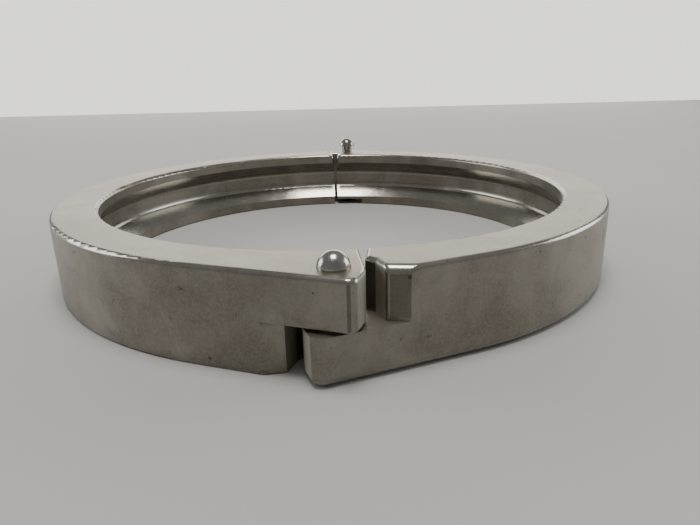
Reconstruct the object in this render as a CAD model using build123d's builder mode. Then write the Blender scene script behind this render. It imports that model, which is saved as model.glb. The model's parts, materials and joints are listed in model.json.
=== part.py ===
"""Two-part hinged ring clamp with an inner V groove, a half-lap hinge and a captive lock pin.

Millimetres. The ring's axis is Z, the underside is at z = 0, the hinge is at -Y and the lock at +Y.
"""
import os
from math import cos, radians, sin

from build123d import *

os.makedirs("parts", exist_ok=True)

# Driving dimensions of the ring
HEIGHT = 25.0
INNER_R = 80.0            # the two lands that grip the pipe or flange
OUTER_R = 94.0
FLAT_ANGLE = 21.0         # each flat beside a pin is tangent to the ring this far from the pin
TOP_EDGE_R = 1.2          # rounding of the upper edges
BOTTOM_EDGE_R = 0.5
END_EDGE_R = 2.6          # wider rounding across the top at the lock joint
FACET_EDGE_R = 2.2        # the same above the relief facet

# Inner groove
LAND = 4.0                # height of the land above and below the groove
GROOVE_R = 85.5
GROOVE_RISE = 5.5         # height of each sloping flank
GROOVE_CORNER_R = 3.0

# Half-lap hinge
PIN_R = 93.2              # distance of the hinge axis from the ring's axis
SHANK_R = 2.5
HEAD_R = 3.8
LAP_GAP = 0.8             # between the two knuckles, filled by the thrust washer
LAP_EDGE_R = 0.5
UPPER_REACH = 7.1         # how far each knuckle reaches past the pin
UPPER_CORNER_R = 2.2
LOWER_REACH = 7.7
LOWER_CORNER_R = 2.8
LOWER_EDGE_R = 2.4        # rounding under the lower knuckle's end
NOSE_BEND = -1.1          # where a knuckle's end face bends back towards its inner end
NOSE_INNER = (0.2, -16.0)
NOSE_BEND_R = 12.0
CUT_BACK = 10.4           # distance from the pin to the opposite half's cut face
CUT_BEND = -1.1
CUT_LIP = (-9.0, -3.6)
CUT_INNER = (-18.2, -20.9)
FACET_START = 15.1        # where the relief facet beside the cut leaves the flat
FACET_DEPTH = 2.5
BUSH_R = 3.3
BUSH_BORE_R = 2.56
TAIL_WASHER_R = 4.3
TAIL_RECESS_R = 4.6
TAIL_RECESS = 2.0
TAIL_WASHER_BOTTOM = 0.9
PEEN_BOTTOM = 0.3
PEEN_R = 3.1
WASHER_PLAY = 0.1
THRUST_WASHER_R = 4.6

# Lock joint
LOCK_AZIMUTH = 85.0
LOCK_R = 92.5
LEFT_END = (1.1, -2.4, 88.8)      # x of a half's end face, inside and outside its step; y of the step
RIGHT_END = (2.5, -1.0, 89.2)
LOCK_BORE_R = 2.58
LOCK_LIFT = 3.0           # the pin stands this far above its locked place
TONGUE_T = 2.2
TONGUE_HALF_WIDTH = 4.8
TONGUE_LENGTH = 22.0      # from the lock pin to the plate's fixed end
TONGUE_GAP = 0.4
RELIEF_END_X = 14.9
SCREW_PLACES = (11.0, 18.0)
SCREW_R = 1.5
SCREW_HEAD_R = 2.6
SCREW_HEAD_H = 1.1
SCREW_SOCKET_R = 1.0
SCREW_TOP = 6.4
KEEPER_Z = 14.0
KEEPER_R = 2.0
KEEPER_DOG_R = 1.2
KEEPER_PLAY = 0.1
KEEPER_START = 3.0        # where the thread begins, outside the pin's bore
KEEPER_SUNK = 0.4
KEEPER_SOCKET_R = 1.15
KEEPER_SOCKET_DEPTH = 1.6
WAIST_R = 1.9
WAIST_SLOPE = 0.1
TIP_CHAMFER = 0.6
TIP_RISE = 0.1            # of the lowered pin's tip above the underside
O_RING_Z = 9.0
O_RING_SECTION_R = 0.75
O_RING_BED_R = 1.05

# Worked-out values
LAP_Z = HEIGHT / 2
UPPER_LAP_Z = LAP_Z + LAP_GAP / 2
LOWER_LAP_Z = LAP_Z - LAP_GAP / 2
FLAT_OUT = OUTER_R - PIN_R * cos(radians(FLAT_ANGLE))
CORNER_R = OUTER_R / cos(radians(FLAT_ANGLE))
LOCK_FLAT_OUT = OUTER_R - LOCK_R * cos(radians(FLAT_ANGLE))
LOCK_X = LOCK_R * cos(radians(LOCK_AZIMUTH))
LOCK_Y = LOCK_R * sin(radians(LOCK_AZIMUTH))
LOCK_INNER_Y = (INNER_R + LEFT_END[2]) / 2
LOCK_HEAD_Z = HEIGHT + LOCK_LIFT
LOCK_TIP_Z = LOCK_LIFT + TIP_RISE
WAIST_BOTTOM = KEEPER_Z - KEEPER_DOG_R - KEEPER_PLAY
WAIST_TOP = KEEPER_Z + KEEPER_DOG_R + KEEPER_PLAY + LOCK_LIFT
CONE_ALIGN = (Align.CENTER, Align.CENTER, Align.MIN)
NEAR = 60.0               # well inside the ring
FAR = 130.0               # well outside it
BEYOND = 25.0             # well outside a flat, measured from its pin
OVERSHOOT = 5.0           # of a cut past the face that it opens
LEFT = -1
RIGHT = 1


def polar(radius, azimuth):
    """A point of the plan, by its distance and azimuth from the ring's axis."""
    return (radius * cos(radians(azimuth)), radius * sin(radians(azimuth)))


KEEPER_PLANE = Plane(origin=(LOCK_X, LOCK_Y, KEEPER_Z), z_dir=(*polar(1, LOCK_AZIMUTH - FLAT_ANGLE), 0))


def at_hinge(side, along, out):
    """A point of the plan, measured from the hinge pin along one half's flat and outwards from it."""
    c = cos(radians(FLAT_ANGLE))
    s = sin(radians(FLAT_ANGLE))
    return (-side * along * c + side * out * s, -PIN_R - along * s - out * c)


FACET_MIDDLE = at_hinge(RIGHT, -(FACET_START + CUT_BACK) / 2, FLAT_OUT - FACET_DEPTH / 2)


def flats(azimuth):
    """The plan of the two flats that meet in a corner outside a pin."""
    Polygon(
        (0, 0),
        polar(OUTER_R, azimuth - FLAT_ANGLE),
        polar(CORNER_R, azimuth),
        polar(OUTER_R, azimuth + FLAT_ANGLE),
        align=None,
    )


def half_plane(side, end, front_points):
    """The region of one half: from its boundary at the hinge to its stepped end at the lock."""
    inner_x, outer_x, step_y = end
    Polygon(
        *front_points,
        (0, -NEAR),
        (0, 0),
        (inner_x, NEAR),
        (inner_x, step_y),
        (outer_x, step_y),
        (outer_x, FAR),
        (side * FAR, FAR),
        (side * FAR, -FAR),
        (front_points[0][0], -FAR),
        align=None,
        mode=Mode.INTERSECT,
    )


def knuckle_plan(side, end, reach, corner_r):
    """Plan of a half at the level where it forms a knuckle round the pin."""
    with BuildSketch() as plan:
        Circle(OUTER_R)
        flats(-90)
        flats(LOCK_AZIMUTH)
        Polygon(
            at_hinge(side, -CUT_BACK, 0),
            at_hinge(side, -CUT_BACK, FLAT_OUT),
            at_hinge(side, reach, FLAT_OUT),
            at_hinge(side, reach, 0),
            align=None,
        )
        bend = at_hinge(side, reach, NOSE_BEND)
        half_plane(side, end, (at_hinge(side, reach, BEYOND), bend, at_hinge(side, *NOSE_INNER)))
        Circle(INNER_R, mode=Mode.SUBTRACT)
        fillet(plan.vertices().sort_by_distance(bend)[0], NOSE_BEND_R)
        fillet(plan.vertices().sort_by_distance(at_hinge(side, reach, FLAT_OUT))[0], corner_r)
    return plan.sketch


def cut_plan(side, end):
    """Plan of a half at the level where it is cut back from the other half's knuckle."""
    with BuildSketch() as plan:
        Circle(OUTER_R)
        flats(-90)
        flats(LOCK_AZIMUTH)
        cut_face = (
            at_hinge(side, -CUT_BACK, BEYOND),
            at_hinge(side, -CUT_BACK, CUT_BEND),
            at_hinge(side, *CUT_LIP),
            at_hinge(side, *CUT_INNER),
        )
        half_plane(side, end, cut_face)
        Circle(INNER_R, mode=Mode.SUBTRACT)
        Polygon(
            at_hinge(side, -FACET_START, FLAT_OUT),
            at_hinge(side, -CUT_BACK, FLAT_OUT - FACET_DEPTH),
            at_hinge(side, 0, FLAT_OUT - FACET_DEPTH),
            at_hinge(side, 0, BEYOND),
            at_hinge(side, -FACET_START, BEYOND),
            align=None,
            mode=Mode.SUBTRACT,
        )
    return plan.sketch


def groove():
    """The V groove, cut by a trapezoid turned round the ring's axis."""
    with BuildSketch(Plane.XZ) as section:
        Polygon(
            (INNER_R - OVERSHOOT, LAND),
            (INNER_R, LAND),
            (GROOVE_R, LAND + GROOVE_RISE),
            (GROOVE_R, HEIGHT - LAND - GROOVE_RISE),
            (INNER_R, HEIGHT - LAND),
            (INNER_R - OVERSHOOT, HEIGHT - LAND),
            align=None,
        )
        bottom_corners = section.vertices().sort_by(Axis.X)[-2:]
        fillet(bottom_corners, GROOVE_CORNER_R)
    revolve(section.sketch, axis=Axis.Z, mode=Mode.SUBTRACT)


def bore(x, y, radius, bottom, top):
    """A straight round hole between two heights."""
    with BuildSketch(Plane.XY.offset(bottom)) as hole:
        with Locations((x, y)):
            Circle(radius)
    extrude(hole.sketch, amount=top - bottom, mode=Mode.SUBTRACT)


def edge_near(part, z, point):
    """The edge of the flat face at one height that passes nearest to a point of the plan."""
    flat_face = part.faces().filter_by(Axis.Z).filter_by_position(Axis.Z, z, z).sort_by(SortBy.AREA)[-1]
    return flat_face.edges().sort_by_distance((*point, z))[0]


def round_top(part, wide_places):
    """Rounds the upper face's edges: widely at the given places of the plan, narrowly elsewhere."""
    for point, radius in wide_places:
        fillet(edge_near(part, HEIGHT, point), radius)
    seams = [edge_near(part, HEIGHT, point) for point, radius in wide_places]
    upper_face = part.faces().sort_by(Axis.Z)[-1]
    fillet([edge for edge in upper_face.edges() if edge not in seams], TOP_EDGE_R)


def round_bottom(part):
    """Rounds every edge of the underside."""
    fillet(part.faces().sort_by(Axis.Z)[0].edges(), BOTTOM_EDGE_R)


def tongue_plane(z):
    """A plane at the lock pin whose X runs along the left half's flat, away from the hinge side."""
    along = LOCK_AZIMUTH + FLAT_ANGLE + 90
    return Plane(origin=(LOCK_X, LOCK_Y, z), x_dir=(*polar(1, along), 0), z_dir=(0, 0, 1))


def tongue_plan():
    """The tongue plate's outline: round about the lock pin, square at its fixed end."""
    Circle(TONGUE_HALF_WIDTH)
    with Locations((TONGUE_LENGTH / 2, 0)):
        Rectangle(TONGUE_LENGTH, 2 * TONGUE_HALF_WIDTH)


# Left half: upper knuckle at the hinge, pocket for the tongue plate at the lock
with BuildPart() as left_half:
    with BuildSketch(Plane.XY.offset(UPPER_LAP_Z)):
        add(knuckle_plan(LEFT, LEFT_END, UPPER_REACH, UPPER_CORNER_R))
    extrude(amount=HEIGHT - UPPER_LAP_Z)
    with BuildSketch(Plane.XY):
        add(cut_plan(LEFT, LEFT_END))
    extrude(amount=UPPER_LAP_Z)
    groove()
    round_top(left_half, (((LEFT_END[0], LOCK_INNER_Y), END_EDGE_R),))
    round_bottom(left_half)
    fillet(edge_near(left_half, UPPER_LAP_Z, at_hinge(LEFT, UPPER_REACH, 0)), LAP_EDGE_R)
    bore(0, -PIN_R, SHANK_R, UPPER_LAP_Z, HEIGHT)
    with BuildSketch(tongue_plane(0)):
        tongue_plan()
    extrude(amount=TONGUE_T, mode=Mode.SUBTRACT)
    with BuildSketch(tongue_plane(TONGUE_T)):
        with Locations(*((place, 0) for place in SCREW_PLACES)):
            Circle(SCREW_R)
    extrude(amount=SCREW_TOP - TONGUE_T, mode=Mode.SUBTRACT)

left_half.part.label = "left_half"
export_step(left_half.part, "parts/left_half.step")

# Right half: lower knuckle at the hinge, bore for the lock pin at the lock
with BuildPart() as right_half:
    with BuildSketch(Plane.XY):
        add(knuckle_plan(RIGHT, RIGHT_END, LOWER_REACH, LOWER_CORNER_R))
    extrude(amount=LOWER_LAP_Z)
    with BuildSketch(Plane.XY.offset(LOWER_LAP_Z)):
        add(cut_plan(RIGHT, RIGHT_END))
    extrude(amount=HEIGHT - LOWER_LAP_Z)
    groove()
    round_top(right_half, (((RIGHT_END[0], LOCK_INNER_Y), END_EDGE_R), (FACET_MIDDLE, FACET_EDGE_R)))
    fillet(edge_near(right_half, 0, at_hinge(RIGHT, LOWER_REACH, 0)), LOWER_EDGE_R)
    round_bottom(right_half)
    bore(0, -PIN_R, BUSH_R, 0, LOWER_LAP_Z)
    bore(0, -PIN_R, TAIL_RECESS_R, 0, TAIL_RECESS)
    bore(LOCK_X, LOCK_Y, LOCK_BORE_R, 0, HEIGHT)
    with BuildSketch(Plane.XY):
        with Locations((RELIEF_END_X, NEAR)):
            Rectangle(RELIEF_END_X + OVERSHOOT, NEAR, align=(Align.MAX, Align.MIN))
    extrude(amount=TONGUE_T + TONGUE_GAP, mode=Mode.SUBTRACT)
    with BuildSketch(KEEPER_PLANE):
        Circle(KEEPER_R)
    extrude(amount=LOCK_FLAT_OUT + OVERSHOOT, mode=Mode.SUBTRACT)

right_half.part.label = "right_half"
export_step(right_half.part, "parts/right_half.step")

# Hinge pin: a dome-headed rivet, its tail peened over the tail washer
with BuildPart() as hinge_pin:
    with BuildSketch(Plane.XZ.offset(PIN_R)):
        with BuildLine():
            Polyline((0, HEIGHT + HEAD_R), (0, PEEN_BOTTOM), (PEEN_R, PEEN_BOTTOM))
            Polyline((PEEN_R, PEEN_BOTTOM), (SHANK_R, TAIL_WASHER_BOTTOM), (SHANK_R, HEIGHT))
            Line((SHANK_R, HEIGHT), (HEAD_R, HEIGHT))
            CenterArc((0, HEIGHT), HEAD_R, 0, 90)
        make_face()
    revolve(axis=Axis((0, -PIN_R, 0), (0, 0, 1)))

hinge_pin.part.label = "hinge_pin"
export_step(hinge_pin.part, "parts/hinge_pin.step")


def ring(x, y, bottom, top, outer, inner):
    """A flat ring or sleeve about an upright axis."""
    with BuildSketch(Plane.XY.offset(bottom)) as section:
        with Locations((x, y)):
            Circle(outer)
            Circle(inner, mode=Mode.SUBTRACT)
    extrude(section.sketch, amount=top - bottom)


with BuildPart() as hinge_thrust_washer:
    ring(0, -PIN_R, LOWER_LAP_Z + WASHER_PLAY, UPPER_LAP_Z, THRUST_WASHER_R, SHANK_R)

hinge_thrust_washer.part.label = "hinge_thrust_washer"
export_step(hinge_thrust_washer.part, "parts/hinge_thrust_washer.step")

with BuildPart() as hinge_bush:
    ring(0, -PIN_R, TAIL_RECESS, LOWER_LAP_Z, BUSH_R, BUSH_BORE_R)

hinge_bush.part.label = "hinge_bush"
export_step(hinge_bush.part, "parts/hinge_bush.step")

with BuildPart() as hinge_tail_washer:
    ring(0, -PIN_R, TAIL_WASHER_BOTTOM, TAIL_RECESS - WASHER_PLAY, TAIL_WASHER_R, SHANK_R)

hinge_tail_washer.part.label = "hinge_tail_washer"
export_step(hinge_tail_washer.part, "parts/hinge_tail_washer.step")

# Tongue plate under the lock joint, with the hole that the lock pin drops into
with BuildPart() as tongue_plate:
    with BuildSketch(tongue_plane(0)):
        tongue_plan()
        Circle(LOCK_BORE_R, mode=Mode.SUBTRACT)
    extrude(amount=TONGUE_T)
    with Locations(tongue_plane(0)):
        with Locations(*((place, 0, 0) for place in SCREW_PLACES)):
            Cone(SCREW_HEAD_R, SCREW_R, SCREW_HEAD_H, align=CONE_ALIGN, mode=Mode.SUBTRACT)
            Cylinder(SCREW_R, TONGUE_T, align=CONE_ALIGN, mode=Mode.SUBTRACT)

tongue_plate.part.label = "tongue_plate"
export_step(tongue_plate.part, "parts/tongue_plate.step")

# Two countersunk screws, driven from below
with BuildPart() as tongue_screws:
    with Locations(tongue_plane(0)):
        with Locations(*((place, 0, 0) for place in SCREW_PLACES)):
            Cone(SCREW_HEAD_R, SCREW_R, SCREW_HEAD_H, align=CONE_ALIGN)
            Cylinder(SCREW_R, SCREW_TOP, align=CONE_ALIGN)
            Cylinder(SCREW_SOCKET_R, SCREW_HEAD_H, align=CONE_ALIGN, mode=Mode.SUBTRACT)

tongue_screws.part.label = "tongue_screws"
export_step(tongue_screws.part, "parts/tongue_screws.step")

# Lock pin, shown lifted: dome head, waist for the keeper screw, bed for the friction ring
with BuildPart() as lock_pin:
    with BuildSketch(Plane.XZ.offset(-LOCK_Y)):
        with BuildLine():
            Polyline(
                (LOCK_X, LOCK_HEAD_Z + HEAD_R),
                (LOCK_X, LOCK_TIP_Z),
                (LOCK_X + SHANK_R - TIP_CHAMFER, LOCK_TIP_Z),
                (LOCK_X + SHANK_R, LOCK_TIP_Z + TIP_CHAMFER),
                (LOCK_X + SHANK_R, O_RING_Z - O_RING_SECTION_R),
                (LOCK_X + O_RING_BED_R, O_RING_Z - O_RING_SECTION_R),
                (LOCK_X + O_RING_BED_R, O_RING_Z + O_RING_SECTION_R),
                (LOCK_X + SHANK_R, O_RING_Z + O_RING_SECTION_R),
                (LOCK_X + SHANK_R, WAIST_BOTTOM - WAIST_SLOPE),
                (LOCK_X + WAIST_R, WAIST_BOTTOM),
                (LOCK_X + WAIST_R, WAIST_TOP),
                (LOCK_X + SHANK_R, WAIST_TOP + WAIST_SLOPE),
                (LOCK_X + SHANK_R, LOCK_HEAD_Z),
                (LOCK_X + HEAD_R, LOCK_HEAD_Z),
            )
            CenterArc((LOCK_X, LOCK_HEAD_Z), HEAD_R, 0, 90)
        make_face()
    revolve(axis=Axis((LOCK_X, LOCK_Y, 0), (0, 0, 1)))

lock_pin.part.label = "lock_pin"
export_step(lock_pin.part, "parts/lock_pin.step")

with BuildPart() as lock_pin_o_ring:
    with BuildSketch(Plane.XZ.offset(-LOCK_Y)):
        with Locations((LOCK_X + O_RING_BED_R + O_RING_SECTION_R, O_RING_Z)):
            Circle(O_RING_SECTION_R)
    revolve(axis=Axis((LOCK_X, LOCK_Y, 0), (0, 0, 1)))

lock_pin_o_ring.part.label = "lock_pin_o_ring"
export_step(lock_pin_o_ring.part, "parts/lock_pin_o_ring.step")

# Keeper screw: a set screw whose dog point stands in the lock pin's waist
with BuildPart() as keeper_screw:
    with BuildSketch(KEEPER_PLANE.offset(WAIST_R + KEEPER_PLAY)):
        Circle(KEEPER_DOG_R)
    extrude(amount=SHANK_R + KEEPER_PLAY)
    with BuildSketch(KEEPER_PLANE.offset(KEEPER_START)):
        Circle(KEEPER_R)
    extrude(amount=LOCK_FLAT_OUT - KEEPER_START - KEEPER_SUNK)
    with BuildSketch(KEEPER_PLANE.offset(LOCK_FLAT_OUT - KEEPER_SUNK)):
        RegularPolygon(KEEPER_SOCKET_R, 6)
    extrude(amount=-KEEPER_SOCKET_DEPTH, mode=Mode.SUBTRACT)

keeper_screw.part.label = "keeper_screw"
export_step(keeper_screw.part, "parts/keeper_screw.step")
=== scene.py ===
"""Looks of the two-part hinged ring clamp: materials, floor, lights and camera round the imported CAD."""
import json
import math

import bpy
from mathutils import Matrix, Vector


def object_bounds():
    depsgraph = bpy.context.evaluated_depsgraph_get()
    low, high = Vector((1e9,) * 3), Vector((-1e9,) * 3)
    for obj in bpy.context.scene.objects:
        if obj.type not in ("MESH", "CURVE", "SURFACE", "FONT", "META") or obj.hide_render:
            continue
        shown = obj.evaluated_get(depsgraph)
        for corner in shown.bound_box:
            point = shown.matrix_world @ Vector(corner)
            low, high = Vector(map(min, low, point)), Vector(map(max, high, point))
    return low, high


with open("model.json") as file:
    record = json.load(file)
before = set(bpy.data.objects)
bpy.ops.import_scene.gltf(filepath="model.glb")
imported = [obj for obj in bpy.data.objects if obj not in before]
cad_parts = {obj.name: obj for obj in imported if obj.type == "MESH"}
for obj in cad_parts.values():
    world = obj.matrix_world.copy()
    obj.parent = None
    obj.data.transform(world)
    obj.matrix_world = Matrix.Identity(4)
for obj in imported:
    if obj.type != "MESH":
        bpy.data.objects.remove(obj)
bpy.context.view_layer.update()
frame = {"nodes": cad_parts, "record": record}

RING_R = 0.094            # outside radius of the ring
GROOVE_R = 0.0855         # radius of the inner groove's bottom
HINGE_Y = -0.0932         # place of the hinge pin
MM = 0.001


# ---------------------------------------------------------------- node helpers
class Tree:
    """A material's nodes, with short calls for the ones used here."""

    def __init__(self, name):
        self.material = bpy.data.materials.new(name)
        self.material.use_nodes = True
        self.tree = self.material.node_tree
        self.tree.nodes.clear()
        self.shader = self.node("ShaderNodeBsdfPrincipled")
        output = self.node("ShaderNodeOutputMaterial")
        self.link(self.shader.outputs["BSDF"], output.inputs["Surface"])
        coordinates = self.node("ShaderNodeTexCoord")
        self.place = coordinates.outputs["Object"]

    def node(self, kind):
        return self.tree.nodes.new(kind)

    def link(self, source, socket):
        self.tree.links.new(source, socket)

    def put(self, socket, value):
        if isinstance(value, bpy.types.NodeSocket):
            self.link(value, socket)
        else:
            socket.default_value = value

    def math(self, operation, a, b=0.0, c=0.0, clamp=False):
        node = self.node("ShaderNodeMath")
        node.operation = operation
        node.use_clamp = clamp
        for socket, value in zip(node.inputs, (a, b, c)):
            self.put(socket, value)
        return node.outputs[0]

    def times(self, a, b):
        return self.math("MULTIPLY", a, b)

    def plus(self, a, b, clamp=False):
        return self.math("ADD", a, b, clamp=clamp)

    def minus(self, a, b):
        return self.math("SUBTRACT", a, b)

    def plan_distance(self, x, y):
        return self.math("SQRT", self.plus(self.times(x, x), self.times(y, y)))

    def spread(self, value, low, high, to_low=0.0, to_high=1.0):
        """Value mapped smoothly from low..high to to_low..to_high, clamped."""
        node = self.node("ShaderNodeMapRange")
        node.interpolation_type = "SMOOTHSTEP"
        for socket, item in zip(node.inputs, (value, low, high, to_low, to_high)):
            self.put(socket, item)
        return node.outputs[0]

    def noise(self, place, scale, detail=2.0, roughness=0.5, distortion=0.0):
        node = self.node("ShaderNodeTexNoise")
        self.link(place, node.inputs["Vector"])
        node.inputs["Scale"].default_value = scale
        node.inputs["Detail"].default_value = detail
        node.inputs["Roughness"].default_value = roughness
        node.inputs["Distortion"].default_value = distortion
        return node.outputs["Fac"]

    def cells(self, place, scale, randomness=1.0):
        """Distance to the nearest point of each cell, and a random number for the cell."""
        node = self.node("ShaderNodeTexVoronoi")
        self.link(place, node.inputs["Vector"])
        node.inputs["Scale"].default_value = scale
        node.inputs["Randomness"].default_value = randomness
        split = self.node("ShaderNodeSeparateColor")
        self.link(node.outputs["Color"], split.inputs[0])
        return node.outputs["Distance"], split.outputs[0]

    def mix(self, factor, a, b):
        node = self.node("ShaderNodeMix")
        node.data_type = "RGBA"
        self.put(node.inputs["Factor"], factor)
        self.put(node.inputs["A"], a)
        self.put(node.inputs["B"], b)
        return node.outputs["Result"]

    def vector(self, x, y, z):
        node = self.node("ShaderNodeCombineXYZ")
        for socket, value in zip(node.inputs, (x, y, z)):
            self.put(socket, value)
        return node.outputs[0]

    def split(self, vector):
        node = self.node("ShaderNodeSeparateXYZ")
        self.link(vector, node.inputs[0])
        return node.outputs

    def around_ring(self, along_scale, across_scale):
        """Coordinates that run along the ring, so grain and scratches follow it."""
        x, y, z = self.split(self.place)
        angle = self.math("ARCTAN2", y, x)
        radius = self.plan_distance(x, y)
        along = self.times(angle, RING_R * along_scale)
        out = self.times(radius, across_scale)
        return self.vector(along, out, self.times(z, across_scale))

    def lines(self, place, scale, width, gate_scale, gate, distortion=1.5):
        """Short thin curved marks: level lines of one noise, shown only where another noise is high."""
        level = self.noise(place, scale, 1.0, 0.5, distortion)
        away = self.math("ABSOLUTE", self.minus(level, 0.5))
        thin = self.spread(away, 0.0, width, 1.0, 0.0)
        shown = self.spread(self.noise(place, gate_scale, 1.0), gate, gate + 0.05)
        return self.times(thin, shown)

    def bump(self, height, distance, strength=1.0):
        node = self.node("ShaderNodeBump")
        node.inputs["Strength"].default_value = strength
        node.inputs["Distance"].default_value = distance
        self.link(height, node.inputs["Height"])
        self.link(node.outputs["Normal"], self.shader.inputs["Normal"])

    def finish(self, color, roughness, metallic=1.0):
        self.put(self.shader.inputs["Base Color"], color)
        self.put(self.shader.inputs["Roughness"], roughness)
        self.shader.inputs["Metallic"].default_value = metallic
        return self.material


def rgb(red, green, blue):
    return (red, green, blue, 1.0)


def worn_ring_metal_with_painted_light():
    # Real wear marks and stains, plus painted light and shade keyed to face direction and place
    t = Tree("ring_metal_worn_and_painted_light")
    geometry = t.node("ShaderNodeNewGeometry")
    upness = t.math("ABSOLUTE", t.split(geometry.outputs["Normal"])[2])
    edge = t.times(t.spread(upness, 0.12, 0.4), t.spread(upness, 0.9, 0.995, 1.0, 0.0))
    flat_top = t.spread(upness, 0.985, 0.999)
    x, y, z = t.split(t.place)
    from_pin = t.plan_distance(x, t.minus(y, HINGE_Y))
    near_pin = t.spread(from_pin, 0.02, 0.024, 1.0, 0.0)
    upright = t.spread(upness, 0.3, 0.6, 1.0, 0.0)
    # Tones painted in as light and shade: lighter cut face and ledge, darker facet, hinge region and inner
    # wall
    sideness = t.math("ABSOLUTE", t.split(geometry.outputs["Normal"])[0])
    cut = t.times(t.spread(sideness, 0.8, 0.9), near_pin)
    lap_level = t.times(t.spread(z, 0.015, 0.02, 1.0, 0.0), t.spread(z, 0.004, 0.008))
    ledge = t.times(flat_top, lap_level)
    raw_finish_and_painted_light = t.math("MAXIMUM", cut, t.times(ledge, 0.3))
    # Masks for painted shade: the front facet beside the pin and the upright faces near the hinge
    frontness = t.times(t.split(geometry.outputs["Normal"])[1], -1.0)
    facet = t.times(t.spread(frontness, 0.975, 0.99), near_pin)
    facet = t.times(facet, t.spread(z, 0.0115, 0.0135))
    by_hinge = t.times(t.spread(from_pin, 0.0, 0.075, 1.0, 0.0), upright)
    painted_shade = t.plus(t.times(by_hinge, 0.22), t.times(facet, 0.42), clamp=True)

    patches = t.noise(t.place, 22.0, 3.0, 0.55, 0.6)
    blotches = t.noise(t.place, 95.0, 3.0, 0.6, 0.4)
    speckle = t.noise(t.place, 1500.0, 2.0, 0.6)
    grain = t.noise(t.around_ring(1.0, 6.0), 420.0, 3.0, 0.6)
    hairlines = t.lines(t.around_ring(1.0, 2.0), 130.0, 0.006, 60.0, 0.56)
    long_marks = t.lines(t.around_ring(0.5, 3.0), 70.0, 0.003, 35.0, 0.57, 0.8)

    ring_distance, ring_pick = t.cells(t.place, 62.0)
    wobble = t.times(t.minus(t.noise(t.place, 260.0), 0.5), 0.12)
    from_ring = t.math("ABSOLUTE", t.minus(t.plus(ring_distance, wobble), 0.17))
    stain = t.times(t.spread(from_ring, 0.005, 0.028, 1.0, 0.0), t.spread(ring_pick, 0.78, 0.8))

    pit_distance, pit_pick = t.cells(t.place, 240.0)
    pit_distance = t.plus(pit_distance, t.times(t.minus(blotches, 0.5), 0.25))
    pit_size = t.spread(pit_pick, 0.72, 1.0, 0.0, 0.11)
    pit = t.spread(t.minus(pit_distance, pit_size), -0.03, 0.02, 1.0, 0.0)
    pits = t.times(pit, t.spread(pit_pick, 0.74, 0.76))

    dark = rgb(0.21, 0.19, 0.155)
    light = rgb(0.34, 0.315, 0.27)
    tone = t.plus(t.times(patches, 0.55), t.times(blotches, 0.45))
    color = t.mix(t.spread(tone, 0.36, 0.64), dark, light)
    color = t.mix(t.spread(speckle, 0.35, 0.75, 0.0, 0.35), color, rgb(0.4, 0.375, 0.33))
    # Painted light: the flat top faces are pulled towards a lighter, warmer tone
    color = t.mix(t.times(flat_top, 0.5), color, rgb(0.35, 0.315, 0.25))
    # Painted highlight: the rounded edges are lightened
    color = t.mix(t.times(edge, 0.35), color, rgb(0.46, 0.44, 0.4))
    marks = t.math("MAXIMUM", hairlines, long_marks)
    color = t.mix(t.times(marks, 0.7), color, rgb(0.1, 0.088, 0.072))
    color = t.mix(t.times(stain, 0.5), color, rgb(0.12, 0.11, 0.1))
    color = t.mix(t.times(pits, 0.8), color, rgb(0.07, 0.06, 0.05))

    roughness = t.spread(tone, 0.3, 0.7, 0.34, 0.44)
    roughness = t.plus(roughness, t.times(t.minus(grain, 0.5), 0.12))
    roughness = t.minus(roughness, t.times(edge, 0.2))
    roughness = t.plus(roughness, t.times(stain, 0.08))
    roughness = t.plus(roughness, t.times(raw_finish_and_painted_light, 0.3), clamp=True)
    # Painted light: the cut face and the ledge are lightened; the raised roughness above is their rougher
    # finish
    color = t.mix(t.times(raw_finish_and_painted_light, 0.8), color, rgb(0.56, 0.53, 0.45))
    # Painted shade: the front facet and the upright faces near the hinge are darkened
    color = t.mix(painted_shade, color, rgb(0.05, 0.044, 0.032))

    wave = t.noise(t.place, 55.0, 2.0)
    # Painted shade: the upright inner faces within the groove radius are darkened
    inside = t.times(t.spread(t.plan_distance(x, y), GROOVE_R, GROOVE_R + MM, 1.0, 0.0), upright)
    color = t.mix(t.times(inside, 0.2), color, rgb(0.05, 0.044, 0.035))
    height = t.times(wave, 2.0)
    height = t.plus(height, t.times(speckle, 0.16))
    height = t.plus(height, t.times(grain, 0.12))
    height = t.minus(height, t.times(marks, 0.15))
    height = t.minus(height, t.times(pits, 0.5))
    t.bump(height, 0.06 * MM)
    return t.finish(color, roughness)


def turned_steel(name, dark, light, roughness_low, roughness_high):
    t = Tree(name)
    patches = t.noise(t.place, 160.0, 3.0, 0.6)
    speckle = t.noise(t.place, 2200.0, 2.0, 0.6)
    marks = t.lines(t.place, 500.0, 0.008, 220.0, 0.54)
    color = t.mix(t.spread(patches, 0.35, 0.65), dark, light)
    color = t.mix(t.times(marks, 0.5), color, rgb(0.1, 0.09, 0.08))
    roughness = t.spread(patches, 0.3, 0.7, roughness_low, roughness_high)
    height = t.minus(t.times(speckle, 0.15), t.times(marks, 0.2))
    t.bump(height, 0.04 * MM)
    return t.finish(color, roughness)


def black_rubber():
    t = Tree("o_ring_rubber_black")
    speckle = t.noise(t.place, 3000.0, 3.0, 0.6)
    color = t.mix(speckle, rgb(0.012, 0.012, 0.012), rgb(0.035, 0.034, 0.033))
    t.bump(speckle, 0.02 * MM)
    return t.finish(color, t.spread(speckle, 0.3, 0.7, 0.5, 0.7), 0.0)


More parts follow.
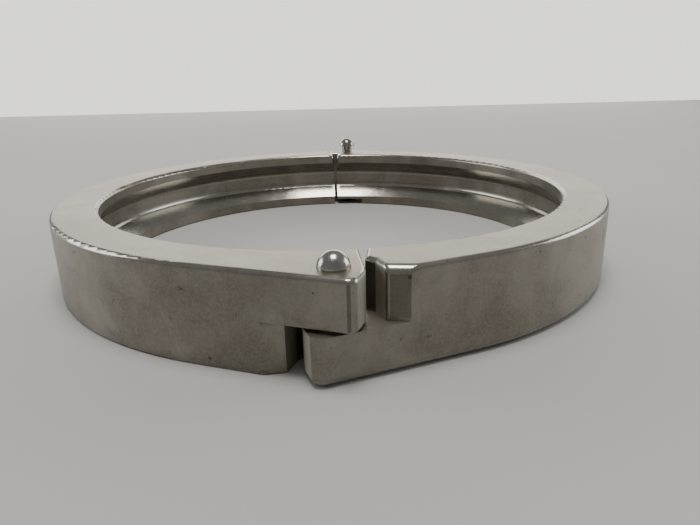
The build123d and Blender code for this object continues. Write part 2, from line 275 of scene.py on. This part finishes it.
MATERIALS = {
    "ring_metal": worn_ring_metal_with_painted_light(),
    "pin_steel": turned_steel("pin_steel_satin",
                              rgb(0.3, 0.285, 0.26), rgb(0.4, 0.385, 0.355), 0.14, 0.22),
    "washer_steel": turned_steel("washer_steel_satin",
        rgb(0.3, 0.29, 0.27), rgb(0.42, 0.41, 0.39), 0.3, 0.42),
    # Painted shade: the tongue is coloured near-black for the shadowed strip under the back joint
    "tongue_steel": turned_steel("tongue_steel_painted_shade",
        rgb(0.07, 0.066, 0.06), rgb(0.13, 0.12, 0.11), 0.4, 0.55),
    "screw_steel": turned_steel("screw_steel_dark",
        rgb(0.06, 0.058, 0.055), rgb(0.12, 0.115, 0.11), 0.3, 0.45),
    "bush_bronze": turned_steel("bush_bronze_plain", rgb(0.42, 0.29, 0.13), rgb(0.55, 0.4, 0.2), 0.3, 0.45),
    "o_ring_rubber": black_rubber(),
}
for part in frame["record"]["subparts"]:
    mesh = frame["nodes"][part["node"]].data
    mesh.materials.clear()
    mesh.materials.append(MATERIALS[part["material_slot"]])


# ---------------------------------------------------------------- floor, light, camera
def plain_floor():
    t = Tree("floor_plain")
    tint = t.noise(t.place, 6.0, 2.0)
    color = t.mix(tint, rgb(0.47, 0.468, 0.455), rgb(0.495, 0.493, 0.48))
    return t.finish(color, 0.75, 0.0)


FLOOR_HALF = 0.88
mesh = bpy.data.meshes.new("floor")
corners = [(x * FLOOR_HALF, y * FLOOR_HALF, 0.0) for x, y in ((-1, -1), (1, -1), (1, 1), (-1, 1))]
mesh.from_pydata(corners, [], [(0, 1, 2, 3)])
floor = bpy.data.objects.new("floor", mesh)
floor.location.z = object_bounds()[0][2] - 0.02 * MM
floor.data.materials.append(plain_floor())
bpy.context.scene.collection.objects.link(floor)


def soft_panel(name, place, target, width, height, power, color):
    data = bpy.data.lights.new(name, "AREA")
    data.shape = "RECTANGLE"
    data.size = width
    data.size_y = height
    data.energy = power
    data.color = color
    panel = bpy.data.objects.new(name, data)
    panel.location = place
    panel.rotation_euler = (Vector(target) - Vector(place)).to_track_quat("-Z", "Y").to_euler()
    panel.visible_camera = False
    bpy.context.scene.collection.objects.link(panel)


soft_panel("panel_back", (0.0, 0.95, 0.3), (0.0, 0.0, 0.02), 1.5, 0.5, 5.2, (1.0, 0.965, 0.915))
soft_panel("panel_left", (-0.95, 0.25, 0.3), (0.0, 0.0, 0.02), 0.6, 0.5, 4.0, (0.97, 0.99, 1.0))
soft_panel("panel_right", (0.95, 0.25, 0.3), (0.0, 0.0, 0.02), 0.6, 0.5, 3.6, (0.97, 0.99, 1.0))
soft_panel("panel_above", (0.0, -0.12, 0.95), (0.0, 0.0, 0.0), 0.34, 0.4, 6.0, (1.0, 0.98, 0.94))

world = bpy.data.worlds.new("soft_room")
bpy.context.scene.world = world
world.use_nodes = True
nodes = world.node_tree.nodes
nodes.clear()
links = world.node_tree.links
shown = nodes.new("ShaderNodeBackground")
shown.inputs["Color"].default_value = rgb(1.6, 1.58, 1.5)
lit = nodes.new("ShaderNodeBackground")
lit.inputs["Color"].default_value = rgb(0.3, 0.3, 0.3)
choose = nodes.new("ShaderNodeMixShader")
path = nodes.new("ShaderNodeLightPath")
world_output = nodes.new("ShaderNodeOutputWorld")
links.new(path.outputs["Is Camera Ray"], choose.inputs[0])
links.new(lit.outputs[0], choose.inputs[1])
links.new(shown.outputs[0], choose.inputs[2])
links.new(choose.outputs[0], world_output.inputs["Surface"])

CAMERA_PLACE = (0.0005, -0.2088, 0.0646)
CAMERA_HEADING = math.radians(1.5)
CAMERA_PITCH = math.radians(18.52)
CAMERA_ROLL = math.radians(1.33)
CAMERA_LENS = 29.32
forward = Vector((math.sin(CAMERA_HEADING) * math.cos(CAMERA_PITCH),
                  math.cos(CAMERA_HEADING) * math.cos(CAMERA_PITCH),
                  -math.sin(CAMERA_PITCH)))
level_right = Vector((math.cos(CAMERA_HEADING), -math.sin(CAMERA_HEADING), 0.0))
level_up = level_right.cross(forward)
right = level_right * math.cos(CAMERA_ROLL) - level_up * math.sin(CAMERA_ROLL)
up = level_right * math.sin(CAMERA_ROLL) + level_up * math.cos(CAMERA_ROLL)
camera_data = bpy.data.cameras.new("camera")
camera_data.lens = CAMERA_LENS
camera_data.clip_start = 0.01
camera = bpy.data.objects.new("camera", camera_data)
turn = Matrix((right, up, -forward)).transposed().to_4x4()
camera.matrix_world = Matrix.Translation(CAMERA_PLACE) @ turn
bpy.context.scene.collection.objects.link(camera)
bpy.context.scene.camera = camera
